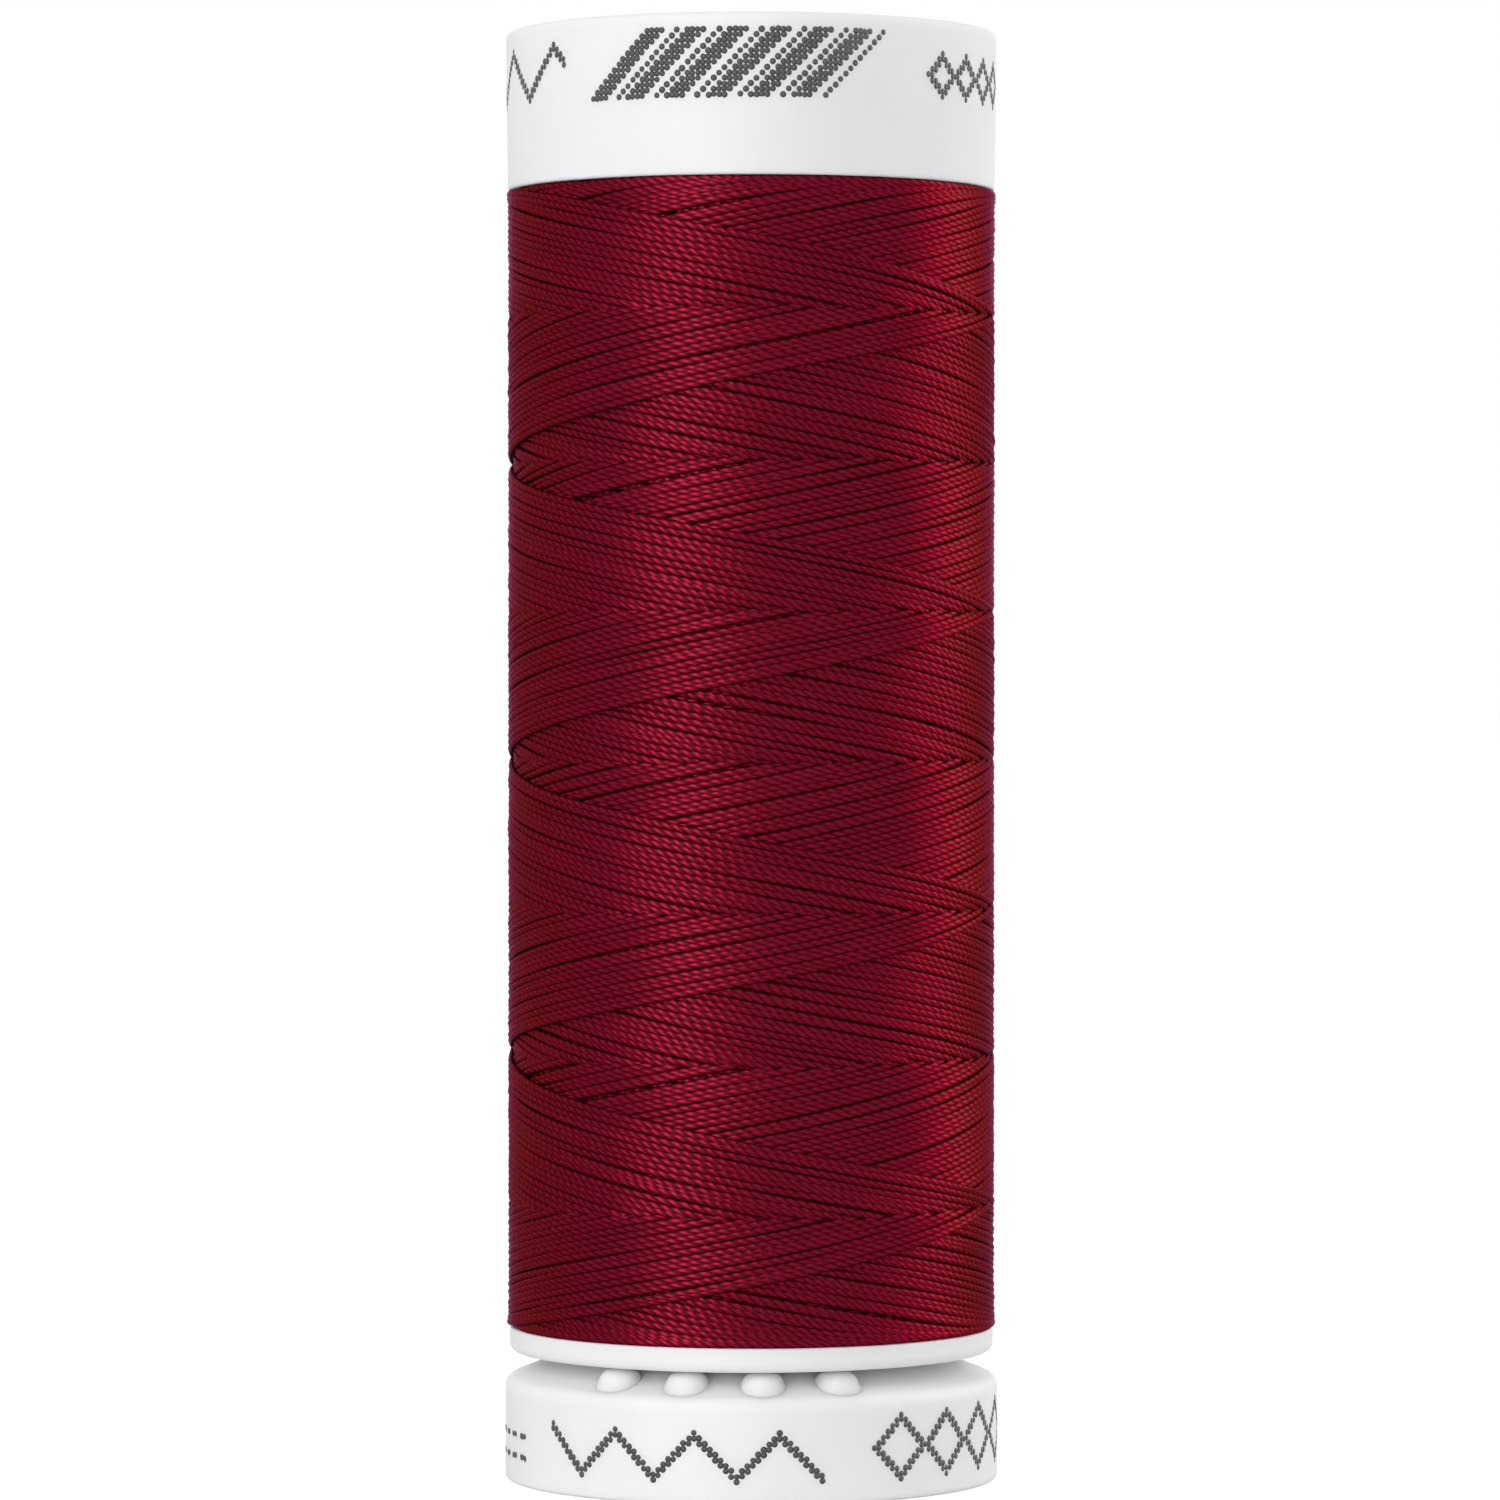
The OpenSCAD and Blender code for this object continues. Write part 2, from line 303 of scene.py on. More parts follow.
cap_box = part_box("top_cap")
TOP_Z = cap_box[1].z / MM
CAP_R = cap_box[1].x / MM
CAP_DRAFT = 0.08
CAP_BORE_R = 10.05
CAP_PLATE = 1.4
PLATE_UNDER = TOP_Z - CAP_PLATE
DISH_R, DISH_DEPTH = 9.65, 0.4
DISH_Z = TOP_Z - DISH_DEPTH
DISH_SLOPE, HUB_SLOPE, HUB_DROP = 0.25, 0.2, 0.05
PIN_R, HUB_R = 4.0, 5.2
CAP_HUB_L = 6.8
PLUG_L = 8.0
PLUG = {"inner": 6.05, "outer": 7.05, "low": PLATE_UNDER - PLUG_L}
cap_profile = rounded(
    [
        (PIN_R, TOP_Z - CAP_HUB_L, 0.15),
        (HUB_R, TOP_Z - CAP_HUB_L, 0.15),
        (HUB_R, PLATE_UNDER, 0.2),
        (PLUG["inner"], PLATE_UNDER, 0.2),
        (PLUG["inner"], PLUG["low"], 0.2),
        (PLUG["outer"], PLUG["low"], 0.3),
        (PLUG["outer"], PLATE_UNDER, 0.1),
        (CAP_BORE_R, PLATE_UNDER, 0.3),
        (CAP_BORE_R, CAP_Z, 0.12),
        (CAP_R - CAP_DRAFT, CAP_Z, 0.15),
        (CAP_R, TOP_Z, 0.34),
        (DISH_R, TOP_Z, 0.16),
        (DISH_R - DISH_SLOPE, DISH_Z, 0.25),
        (HUB_R + HUB_SLOPE, DISH_Z, 0.25),
        (HUB_R, TOP_Z - HUB_DROP, 0.12),
        (PIN_R, TOP_Z - HUB_DROP, 0.3),
    ]
)


def dome(radius, height, flare, sink, segments=40, rings=12, power=1.0):
    """Closed dome about Z: r = radius sin^power t and z = height cos^power t for t up to a quarter turn,
    fuller where power is under 1, its foot drawn out by flare, closed by a point at the depth sink.
    All in mm."""
    t = np.linspace(0, np.pi / 2, rings + 1)[1:]
    foot_start = 0.7
    near_foot = np.clip((t / (np.pi / 2) - foot_start) / (1 - foot_start), 0, 1)
    r = radius * np.sin(t) ** power + flare * near_foot**2
    z = height * np.maximum(np.cos(t), 0) ** power
    r, z = np.append(r, r[-1]), np.append(z, -sink)
    angle = np.linspace(0, 2 * np.pi, segments, endpoint=False)
    r, z = r[:, None], z[:, None]
    body = np.stack([r * np.cos(angle), r * np.sin(angle), z + 0 * angle], -1)
    points = np.concatenate([body.reshape(-1, 3), [[0, 0, height], [0, 0, -sink]]]) * MM
    top, low = len(points) - 2, len(points) - 1
    j = np.arange(segments)
    j2, last = (j + 1) % segments, (len(r) - 1) * segments
    tris = np.concatenate(
        [np.stack([0 * j + top, j, j2], 1), np.stack([0 * j + low, last + j2, last + j], 1)]
    )
    return facing_out(points, grid_quads(len(r), segments, close_rows=False), tris)


def moved(shell, x, y, z):
    """A shell carried to a place in mm."""
    return shell[0] + np.array([x, y, z]) * MM, shell[1], shell[2]


gate_mark = dome(radius=0.45, height=0.12, flare=0.1, sink=0.2, segments=24, rings=6)
gate_mark = moved(gate_mark, -7.4, 1.2, DISH_Z)
cap = make_object("cap_moulding", *joined([turned(cap_profile), gate_mark]))
cap.data.materials.append(
    white_plastic(
        "cap white",
        colour=(0.78, 0.78, 0.792),
        shade=(0.755, 0.755, 0.77),
        roughness=0.58,
        scuffs=0.5,
    )
)
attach(cap, "spool")
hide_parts("top_cap")


# ---- Snap foot ----------------------------------------------------------------------------------
# The white foot that the spool stands on. The barrel lifts off it along slotted fingers to open the
# nip: a seat that slopes up under the lower disc, with domes that grip the thread's end against it.

foot_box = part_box("snap_foot")
FOOT_R = foot_box[1].x / MM
FOOT_H = 4.7
FOOT_WALL, FOOT_PLATE = 1.3, 1.0
SKIRT_R = FOOT_R - FOOT_WALL
PLATE_Z = FOOT_H - FOOT_PLATE
HUB_LIFT = 0.3
FINGER_R, FINGER_IN = 7.0, 5.9
FINGER_TOP = foot_box[1].z / MM
SLOT_Z, SLOT_W = 6.2, 1.8
BEAD_R, BEAD = 7.35, (11.2, 12.2)
SEAT_LAND, SEAT_CLEAR = 1.4, 0.15
SEAT_R, SEAT_Z = FINGER_R + SEAT_LAND, DISC_Z - SEAT_CLEAR
RIM_DROP = 0.12
NUB_R, NUB_CLEAR = 1.02, 0.05
NUB_CIRCLE = DISC_R - 1.38
NUB_H = DISC_Z - FOOT_H - NUB_CLEAR
NUB_GROUP, NUB_STEP, NUBS = -97.0, 20.0, 4
RIBS, RIB_T, RIB_LIFT = 8, 0.8, 0.6
foot_profile = rounded(
    [
        (PIN_R, HUB_LIFT, 0.15),
        (HUB_R, HUB_LIFT, 0.15),
        (HUB_R, PLATE_Z, 0.3),
        (SKIRT_R, PLATE_Z, 0.3),
        (SKIRT_R, 0, 0.12),
        (FOOT_R, 0, 0.22),
        (FOOT_R, FOOT_H - RIM_DROP, 0.42),
        (SEAT_R, SEAT_Z, 0.35),
        (FINGER_R, SEAT_Z, 0.15),
        (FINGER_R, SLOT_Z, 0.02),
        (FINGER_IN, SLOT_Z, 0.02),
        (FINGER_IN, FOOT_H, 0.1),
        (PIN_R, FOOT_H, 0.15),
    ]
)


def finger(start, end, steps=14):
    """One snap finger: an inner and an outer chain of (r, z) swept from one angle to the other, with
    walls between the chains at both ends."""
    outer = [(FINGER_R, SLOT_Z - 0.3), (FINGER_R, BEAD[0] - 0.35), (BEAD_R - 0.05, BEAD[0] - 0.03)]
    outer += [(BEAD_R, BEAD[0] + 0.05), (BEAD_R, BEAD[1] - 0.1), (BEAD_R - 0.04, BEAD[1])]
    outer += [(FINGER_R + 0.04, FINGER_TOP - 0.1), (FINGER_R - 0.1, FINGER_TOP)]
    outer = np.array(outer)
    inner = np.stack([np.full(len(outer), FINGER_IN), outer[:, 1]], 1)
    inner[-1, 0] += 0.1
    ring = np.concatenate([outer, inner[::-1]])
    n, half = len(ring), len(outer)
    angle = np.radians(np.linspace(start, end, steps + 1))[:, None]
    r, z = ring[:, 0], ring[:, 1]
    points = np.stack([r * np.cos(angle), r * np.sin(angle), z + 0 * angle], -1).reshape(-1, 3) * MM
    sides = grid_quads(steps + 1, n, close_rows=False)
    k = np.arange(half - 1)
    wall = np.stack([k, k + 1, n - 2 - k, n - 1 - k], 1)
    quads = np.concatenate([sides, wall, (wall + steps * n)[:, ::-1]])
    return facing_out(points, quads, NO_TRIS)


def rib(steps=6):
    """One stiffening rib: a wall along X whose lower edge is a half round, sunk into the plate, hub and
    skirt that it stiffens."""
    a = np.linspace(0, np.pi, steps + 1)
    half = RIB_T / 2
    into_plate, into_walls = 0.4, 0.3
    edge = np.stack([-half * np.cos(a), RIB_LIFT + half - half * np.sin(a)], 1)
    top = PLATE_Z + into_plate
    outline = np.concatenate([[[-half, top]], edge, [[half, top]]])
    x = np.array([HUB_R - into_walls, SKIRT_R + into_walls])
    points = np.array([[xi, y, z] for xi in x for y, z in outline]) * MM
    n = len(outline)
    sides = grid_quads(2, n, close_rows=False)
    fan = np.stack([0 * np.arange(n - 2), np.arange(1, n - 1), np.arange(2, n)], 1)
    return facing_out(points, sides, np.concatenate([fan, (fan + n)[:, ::-1]]))


half_slot = math.degrees(math.asin(SLOT_W / 2 / FINGER_R))
fingers = [finger(90 * i + half_slot, 90 * (i + 1) - half_slot) for i in range(4)]
ribs = [spun(rib(), 360 * i / RIBS) for i in range(RIBS)]
nub = dome(NUB_R, NUB_H, flare=0.18, sink=0.25, segments=48, rings=16, power=0.7)
nub = moved(nub, NUB_CIRCLE, 0, FOOT_H)
nubs = [
    spun(nub, NUB_GROUP + group + NUB_STEP * (i - (NUBS - 1) / 2))
    for group in (0, 180)
    for i in range(NUBS)
]
foot = make_object("foot_moulding", *joined([turned(foot_profile), *fingers, *ribs, *nubs]))
foot.data.materials.append(
    white_plastic(
        "foot white",
        colour=(0.83, 0.83, 0.838),
        shade=(0.81, 0.81, 0.818),
        roughness=0.55,
        scuffs=0.6,
    )
)
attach(foot, "foot")
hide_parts("snap_foot")


# ---- Inner windings -----------------------------------------------------------------------------
# The bulk of the thread, wound on before what shows. It is a sleeve in the gaps between the outer
# turns, coloured in painted shade far darker than the thread's red, with the same ribbed run of
# threads, and it bears on the barrel and both discs.

THREAD_W, THREAD_T = 0.350, 0.270
LAY, PLIES_OUT, PLY_R = 1.5, 0.070, 0.075
THREAD_R = 11.07
LAYER_R = THREAD_R - THREAD_T / 2
CROSS_T = 0.20
SLEEVE_DEPTH, SLEEVE_CLEAR = 0.28, 0.06
SLEEVE_R = LAYER_R - CROSS_T - SLEEVE_DEPTH


def twisted_plies():
    """Group for three round plies laid up to the right: along is in mm down the thread, and round is 0
    to 1 about it from its outermost line. Ply k swings to across = -PLIES_OUT sin(angle k) and out to
    PLIES_OUT cos(angle k), with its own round back, and the highest ply shows. Groove shade says how far
    that lies under the circle round all three: it is the amount of painted shade that the thread's
    colour takes in the grooves between the plies. Filaments run along the plies, and drift is slow."""
    group, given, out = new_group(
        "twisted plies",
        [("Along", "NodeSocketFloat", 0.0), ("Round", "NodeSocketFloat", 0.0)],
        [
            ("Height", "NodeSocketFloat"),
            ("Groove shade", "NodeSocketFloat"),
            ("Filament", "NodeSocketFloat"),
            ("Drift", "NodeSocketFloat"),
        ],
    )
    along = given.outputs["Along"]
    around = maths(group, "MULTIPLY", given.outputs["Round"], 2 * math.pi)
    across = maths(group, "MULTIPLY", maths(group, "SINE", around), THREAD_W / 2)
    outward = maths(group, "COSINE", around)
    drift_rate, lay_change, ply_back = 0.11, 1.2, 0.6
    slow = node(group, "ShaderNodeCombineXYZ", {0: maths(group, "MULTIPLY", along, drift_rate)})
    drift = node(
        group,
        "ShaderNodeTexNoise",
        {"Vector": slow.outputs[0], "Scale": 1.0, "Detail": 2.0},
    )
    lays = maths(group, "DIVIDE", along, LAY)
    slack = maths(group, "MULTIPLY_ADD", drift.outputs["Fac"], lay_change, lays)
    turned_by = maths(group, "FRACT", slack)
    backs = []
    for k in range(3):
        angle = maths(group, "MULTIPLY_ADD", turned_by, 2 * math.pi, 2 * math.pi * k / 3)
        aside = maths(group, "MULTIPLY_ADD", maths(group, "SINE", angle), PLIES_OUT, across)
        middle = maths(group, "MULTIPLY_ADD", maths(group, "COSINE", angle), PLIES_OUT, PLY_R)
        fall = maths(group, "MULTIPLY", aside, aside)
        backs.append(maths(group, "MULTIPLY_ADD", fall, -ply_back / PLY_R, middle))
    highest = maths(group, "MAXIMUM", maths(group, "MAXIMUM", backs[0], backs[1]), backs[2])
    height = maths(group, "MULTIPLY_ADD", outward, -THREAD_T / 2, highest)
    under = maths(group, "SUBTRACT", maths(group, "MULTIPLY", outward, PLIES_OUT + PLY_R), highest)
    groove_shade = node(
        group,
        "ShaderNodeMapRange",
        {"Value": under, "From Min": 0.012, "From Max": 0.062, "To Max": 0.75},
    )
    fine, long = 40.0, 0.9
    slant = maths(group, "MULTIPLY_ADD", turned_by, 0.3 * LAY, across)
    strands = node(
        group,
        "ShaderNodeCombineXYZ",
        {0: maths(group, "MULTIPLY", slant, fine), 1: maths(group, "MULTIPLY", along, long)},
    )
    filament = node(
        group,
        "ShaderNodeTexNoise",
        {"Vector": strands.outputs[0], "Scale": 1.0, "Detail": 2.0},
    )
    for label, socket in (
        ("Height", height),
        ("Groove shade", groove_shade.outputs[0]),
        ("Filament", filament.outputs["Fac"]),
        ("Drift", drift.outputs["Fac"]),
    ):
        group.links.new(socket, out.inputs[label])
    return group


PLIES = twisted_plies()


def dyed_thread(name, lit, deep, gap, roughness, relief):
    """Dark red filament thread: dyed through, so that its gloss is red too. Its colour drifts slowly at
    random between two reds, and goes toward gap as painted shade in the grooves between the plies.
    """
    material = bpy.data.materials.new(name)
    material.use_nodes = True
    tree = material.node_tree
    shader = tree.nodes["Principled BSDF"]
    places = node(tree, "ShaderNodeUVMap", uv_map="run")
    run = node(tree, "ShaderNodeSeparateXYZ", {0: places.outputs[0]})
    plies = node(tree, "ShaderNodeGroup", node_tree=PLIES)
    tree.links.new(run.outputs[0], plies.inputs["Along"])
    tree.links.new(run.outputs[1], plies.inputs["Round"])
    drift = node(
        tree,
        "ShaderNodeMapRange",
        {"Value": plies.outputs["Drift"], "From Min": 0.3, "From Max": 0.7},
    )
    body = blend_colours(tree, drift.outputs[0], lit, deep)
    # Painted shade: the colour goes toward gap where the plies' grooves lie deep, darkened as shade
    # would darken them.
    body = blend_colours(tree, plies.outputs["Groove shade"], body, gap)
    tree.links.new(body, shader.inputs["Base Color"])
    gloss_change, filament_h = 0.16, 0.004
    least = roughness - gloss_change / 2
    gloss = maths(tree, "MULTIPLY_ADD", plies.outputs["Filament"], gloss_change, least)
    tree.links.new(gloss, shader.inputs["Roughness"])
    height = maths(
        tree, "MULTIPLY_ADD", plies.outputs["Filament"], filament_h, plies.outputs["Height"]
    )
    bump = node(tree, "ShaderNodeBump", {"Height": height, "Distance": MM, "Strength": relief})
    tree.links.new(bump.outputs[0], shader.inputs["Normal"])
    along = node(tree, "ShaderNodeTangent", direction_type="UV_MAP", uv_map="run")
    tree.links.new(along.outputs[0], shader.inputs["Tangent"])
    shader.inputs["Anisotropic"].default_value = 0.8
    shader.inputs["Anisotropic Rotation"].default_value = 0.25
    shader.inputs["Metallic"].default_value = 0.8
    shader.inputs["Specular IOR Level"].default_value = 0.0
    shader.inputs["Specular Tint"].default_value = (0.6, 0.01, 0.32, 1.0)
    shader.inputs["Coat Weight"].default_value = 0.06
    shader.inputs["Coat Roughness"].default_value = 0.3
    return material


def with_run(made, u, v):
    """Gives a mesh its UV map, run: millimetres down the thread, and turns round it, per corner."""
    layer = made.data.uv_layers.new(name="run")
    layer.uv.foreach_set("vector", np.stack([u, v], -1).astype(np.float32).ravel())


sleeve_profile = rounded(
    [
        (BARREL_R + SLEEVE_CLEAR, WIND_Z + SLEEVE_CLEAR, 0.1),
        (SLEEVE_R, WIND_Z + SLEEVE_CLEAR, 0.1),
        (SLEEVE_R, CAP_Z - SLEEVE_CLEAR, 0.1),
        (BARREL_R + SLEEVE_CLEAR, CAP_Z - SLEEVE_CLEAR, 0.1),
    ]
)
sleeve_points, sleeve_quads, _ = turned(sleeve_profile, 180)
inner = make_object("inner_windings", sleeve_points, sleeve_quads, NO_TRIS)
corner_points = sleeve_points[sleeve_quads.ravel()] / MM
corner_angles = np.arctan2(corner_points[:, 1], corner_points[:, 0]).reshape(-1, 4)
corner_angles = np.unwrap(corner_angles, axis=1).ravel()
with_run(inner, corner_angles * SLEEVE_R, corner_points[:, 2] / THREAD_W)
inner.data.materials.append(
    # Painted shade: these reds are far darker than the outer thread's, so that the sleeve reads as the
    # shade in the gaps between the outer turns; gap is painted shade in its grooves.
    dyed_thread(
        "inner thread",
        lit=(0.05, 0.0, 0.002),
        deep=(0.03, 0.0, 0.001),
        gap=(0.005, 0.0, 0.0),
        roughness=0.6,
        relief=0.3,
    )
)
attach(inner, "spool")
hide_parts("thread_package")


# ---- Outer turns --------------------------------------------------------------------------------
# Three-ply filament thread, wound crosswise on a precision winder: the guide goes up and down the
# spool in just over eight turns, so each pass lies one thread beside the last and over the older
# ones that cross it. Its end is tucked under at the back.

PASSES = 47
PERIOD = 8 + 1 / PASSES
TURN_STEPS = 72
SIDES = 8
APEX_TOP, APEX_LOW = 59.42, 5.93
EASE = 0.16
NEWEST_TOP_TURN = 261.0
TUCK_AT = 0.27
OVER_PASSES = 1.5
WANDER, BUNCH, LIFT_WANDER = 0.034, 0.034, 0.012
STOP_RISE, STOP_REACH = 0.05, 1.6
TUCK_TURNS, TUCK_DEPTH = 0.05, 0.35
PIECES = 3


def wander(turns, waves, slowest, fastest, seed):
    """Smooth random path of unit size: a sum of sines with random lengths and phases."""
    random = np.random.default_rng(seed)
    rate = random.uniform(slowest, fastest, waves)
    phase = random.uniform(0, 2 * np.pi, waves)
    total = np.zeros_like(turns)
    for f, p in zip(rate, phase):
        total += np.sin(2 * np.pi * f * turns + p)
    return total * math.sqrt(2 / waves)


def thread_line():
    """The thread's middle line from its oldest turn to its newest, in mm.

    t counts turns, and x is the turns from the nearest stop at the top. Height falls by LEAD a turn
    from the top to the bottom, eased to a parabola over EASE turns at each stop. age counts passes
    since a point was laid. The thread that crosses there has the age across, from where the two
    families meet, so the younger of the two lies CROSS_T over the older, and both lie lower the
    longer ago they were laid."""
    lead = (APEX_TOP - APEX_LOW) / (PERIOD / 2)
    turns = PASSES * PERIOD
    t = np.arange(int(round(turns * TURN_STEPS)) + 1) / TURN_STEPS
    stop_top = turns + TUCK_AT - PERIOD / 2
    since = np.mod(t - stop_top, PERIOD)
    x = np.minimum(since, PERIOD - since)
    low = PERIOD / 2 - x
    z = APEX_TOP - lead * x
    z = np.where(x < EASE, APEX_TOP - lead * EASE / 2 - lead * x**2 / (2 * EASE), z)
    z = np.where(low < EASE, APEX_LOW + lead * EASE / 2 + lead * low**2 / (2 * EASE), z)
    age = (turns - t) / PERIOD
    down = np.where(since < PERIOD / 2, -1.0, 1.0)
    across = np.mod(age + down * (2 * PASSES * x - 2 * x / PERIOD), PASSES)
    over = np.clip((across - age) / OVER_PASSES + 0.5, 0, 1)
    over = over * over * (3 - 2 * over)
    height = np.minimum(1 - (age + across) / PASSES, 0.5) * CROSS_T - CROSS_T * (1 - over)
    near_stop = np.clip(1 - np.minimum(x, low) / (STOP_REACH * EASE), 0, 1)
    z += WANDER * wander(t, 40, 0.4, 5.0, 11) + BUNCH * wander(t / PERIOD, 40, 0.12, 0.5, 12)
    z = np.clip(z, WIND_Z + THREAD_W / 2, CAP_Z - THREAD_W / 2)
    tuck = np.clip(1 - np.minimum(t, turns - t) / TUCK_TURNS, 0, 1) ** 2
    r = LAYER_R + height + STOP_RISE * near_stop + LIFT_WANDER * wander(t, 30, 1.0, 7.0, 13)
    r -= TUCK_DEPTH * tuck
    angle = np.radians(NEWEST_TOP_TURN - 90 + 360 * (t - stop_top))
    return np.stack([r * np.cos(angle), r * np.sin(angle), z], -1)


def thread_tube(line):
    """A flattened tube of SIDES sides carried along line, closed at both ends, with its UV map."""
    ahead = np.gradient(line, axis=0)
    ahead /= np.linalg.norm(ahead, axis=1)[:, None]
    out = line * [1, 1, 0]
    out /= np.linalg.norm(out, axis=1)[:, None]
    out -= (out * ahead).sum(1)[:, None] * ahead
    up = np.cross(out, ahead)
    up *= np.sign(up[:, 2:])
    a = 2 * np.pi * np.arange(SIDES) / SIDES
    across, thick = np.sin(a) * THREAD_W / 2, np.cos(a) * THREAD_T / 2
    points = line[:, None] + thick[:, None] * out[:, None] + across[:, None] * up[:, None]
    n = len(line)
    ends = np.stack([line[0], line[-1]])
    points = np.concatenate([points.reshape(-1, 3), ends]) * MM
    quads = grid_quads(n, SIDES, close_rows=False)
    k = np.arange(SIDES)
    k2, last = (k + 1) % SIDES, (n - 1) * SIDES
    tris = np.concatenate(
        [
            np.stack([0 * k + n * SIDES, k2, k], 1),
            np.stack([0 * k + n * SIDES + 1, last + k, last + k2], 1),
        ]
    )
    length = np.concatenate([[0], np.cumsum(np.linalg.norm(np.diff(line, axis=0), axis=1))])
    i = np.arange(n - 1)[:, None, None] + np.array([0, 0, 1, 1])
    i = np.broadcast_to(i, (n - 1, SIDES, 4))
    v = np.broadcast_to((k[:, None] + np.array([0, 1, 1, 0])) / SIDES, (n - 1, SIDES, 4))
    u = np.concatenate([length[i].ravel(), np.zeros(3 * SIDES), np.full(3 * SIDES, length[-1])])
    v = np.concatenate([v.ravel(), np.zeros(6 * SIDES)])
    return points, quads, tris, u, v


whole_line = thread_line()
cuts = np.linspace(0, len(whole_line) - 1, PIECES + 1).astype(int)
# gap is painted shade: the near-black red that the ply grooves take.
red_thread = dyed_thread(
    "dyed thread",
    lit=(0.215, 0.0048, 0.0222),
    deep=(0.171, 0.0032, 0.0158),
    gap=(0.02, 0.0, 0.001),
    roughness=0.36,
    relief=0.50,
)
for part, (first, last) in enumerate(zip(cuts[:-1], cuts[1:]), 1):
    points, quads, tris, u, v = thread_tube(whole_line[first : last + 1])
    turns_piece = make_object(f"thread_turns_{part}", points, quads, tris)
    with_run(turns_piece, u, v)
    turns_piece.data.materials.append(red_thread)
    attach(turns_piece, "spool")
    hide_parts("thread_outer_winding")


# ---- Printed marks ------------------------------------------------------------------------------
# Dots of dark grey ink, jetted onto the white plastic as plain ornament: a twisted cord and rows of
# stitches and diamonds on the cap, and stitches beside a gauge on the foot, a hair's breadth proud.

DOT_PITCH = 0.238
DOT_R, DOT_SIDES = 0.142, 10
DOT_STRAY, DOT_LEAST, DOT_MOST = 0.012, 0.9, 1.08
DOT_EDGE, DOT_TOP, DOT_ROOT = 0.004, 0.016, -0.03


def cord_band(count, rows, step=8):
    """Dots of a twisted cord: count slanting strokes, each a thick line and a thin one in step columns.
    The place along the cord is the column less the row."""
    c, r = np.meshgrid(np.arange(count * step + rows), np.arange(rows))
    place = c - r
    stroke = np.mod(place, step)
    on = (place >= 0) & (place < count * step) & ((stroke < 4) | (stroke == 6))
    return np.stack([c[on], r[on]], 1)


def zigzag(columns, rows):
    """Dots of a zigzag stitch, two rows thick: row is a triangle wave of the column."""
    c = np.arange(columns)
    r = abs(np.mod(c, 2 * (rows - 1)) - (rows - 1))
    return np.concatenate([np.stack([c, r], 1), np.stack([c, r + 1], 1)])


def dashes(count, length, gap, row):
    """Dots of a running stitch: dashes in one row."""
    c = np.concatenate([np.arange(length) + i * (length + gap) for i in range(count)])
    return np.stack([c, 0 * c + row], 1)


def gauge(columns, step, rows):
    """Dots of a gauge: a line along the bottom, and ticks of two heights in turn."""
    line = np.stack([np.arange(columns), np.zeros(columns, int)], 1)
    ticks = [[c, r] for c in range(0, columns, step) for r in range(1, rows - 3 * (c // step % 2))]
    return np.concatenate([line, ticks])


def diamonds(count, half):
    """Dots of a chain of diamonds: where the distances across and up add to half or just less."""
    c, r = np.meshgrid(np.arange(2 * half * count + 1), np.arange(2 * half + 1))
    reach = abs(np.mod(c, 2 * half) - half) + abs(r - half)
    on = (reach == half) | (reach == half - 1)
    return np.stack([c[on], r[on]], 1)


def printed(name, radius, lean, blocks, seed):
    """Ink dots round a skirt, whose radius in mm at height z is radius + lean * z. Each block is (dots,
    angle of its left edge from the front, height of its lowest row in mm). A dot is a low lens: a ring
    of points, one over it and one under it."""
    random = np.random.default_rng(seed)
    spots = []
    for dots, start, low in blocks:
        along = math.radians(start) * FOOT_R + dots[:, 0] * DOT_PITCH
        spots.append(np.stack([along, low + dots[:, 1] * DOT_PITCH], 1))
    spots = np.unique(np.concatenate(spots).round(4), axis=0)
    spots += random.normal(0, DOT_STRAY, spots.shape)
    size = DOT_R * random.uniform(DOT_LEAST, DOT_MOST, len(spots))
    a = np.linspace(0, 2 * np.pi, DOT_SIDES, endpoint=False)
    ring = spots[:, None] + size[:, None, None] * np.stack([np.cos(a), np.sin(a)], -1)
    flat = np.concatenate([ring, spots[:, None], spots[:, None]], 1)
    rise = np.concatenate([np.full(DOT_SIDES, DOT_EDGE), [DOT_TOP, DOT_ROOT]])
    r = radius + lean * flat[..., 1] + rise
    angle = flat[..., 0] / FOOT_R - np.pi / 2
    points = np.stack([r * np.cos(angle), r * np.sin(angle), flat[..., 1]], -1) * MM
    k = np.arange(DOT_SIDES)
    k2 = (k + 1) % DOT_SIDES
    one = np.concatenate(
        [np.stack([k, k2, 0 * k + DOT_SIDES], 1), np.stack([k2, k, 0 * k + DOT_SIDES + 1], 1)]
    )
    tris = one[None] + (DOT_SIDES + 2) * np.arange(len(spots))[:, None, None]
    return make_object(name, points.reshape(-1, 3), np.empty((0, 4), int), tris.reshape(-1, 3))


def jetted_ink():
    """Dark grey ink, matt and a little patchy."""
    material = bpy.data.materials.new("jetted ink")
    material.use_nodes = True
    tree = material.node_tree
    shader = tree.nodes["Principled BSDF"]
    place = node(tree, "ShaderNodeTexCoord").outputs["Object"]
    dark, faded = (0.060, 0.064, 0.068), (0.100, 0.106, 0.112)
    patches = node(tree, "ShaderNodeTexNoise", {"Vector": place, "Scale": 1400.0, "Detail": 3.0})
    colour = blend_colours(tree, patches.outputs["Fac"], dark, faded)
    tree.links.new(colour, shader.inputs["Base Color"])
    rough = maths(tree, "MULTIPLY_ADD", patches.outputs["Fac"], 0.3, 0.35)
    tree.links.new(rough, shader.inputs["Roughness"])
    bump = node(
        tree,
        "ShaderNodeBump",
        {"Height": patches.outputs["Fac"], "Distance": 5e-6, "Strength": 0.4},
    )
    tree.links.new(bump.outputs[0], shader.inputs["Normal"])
    return material


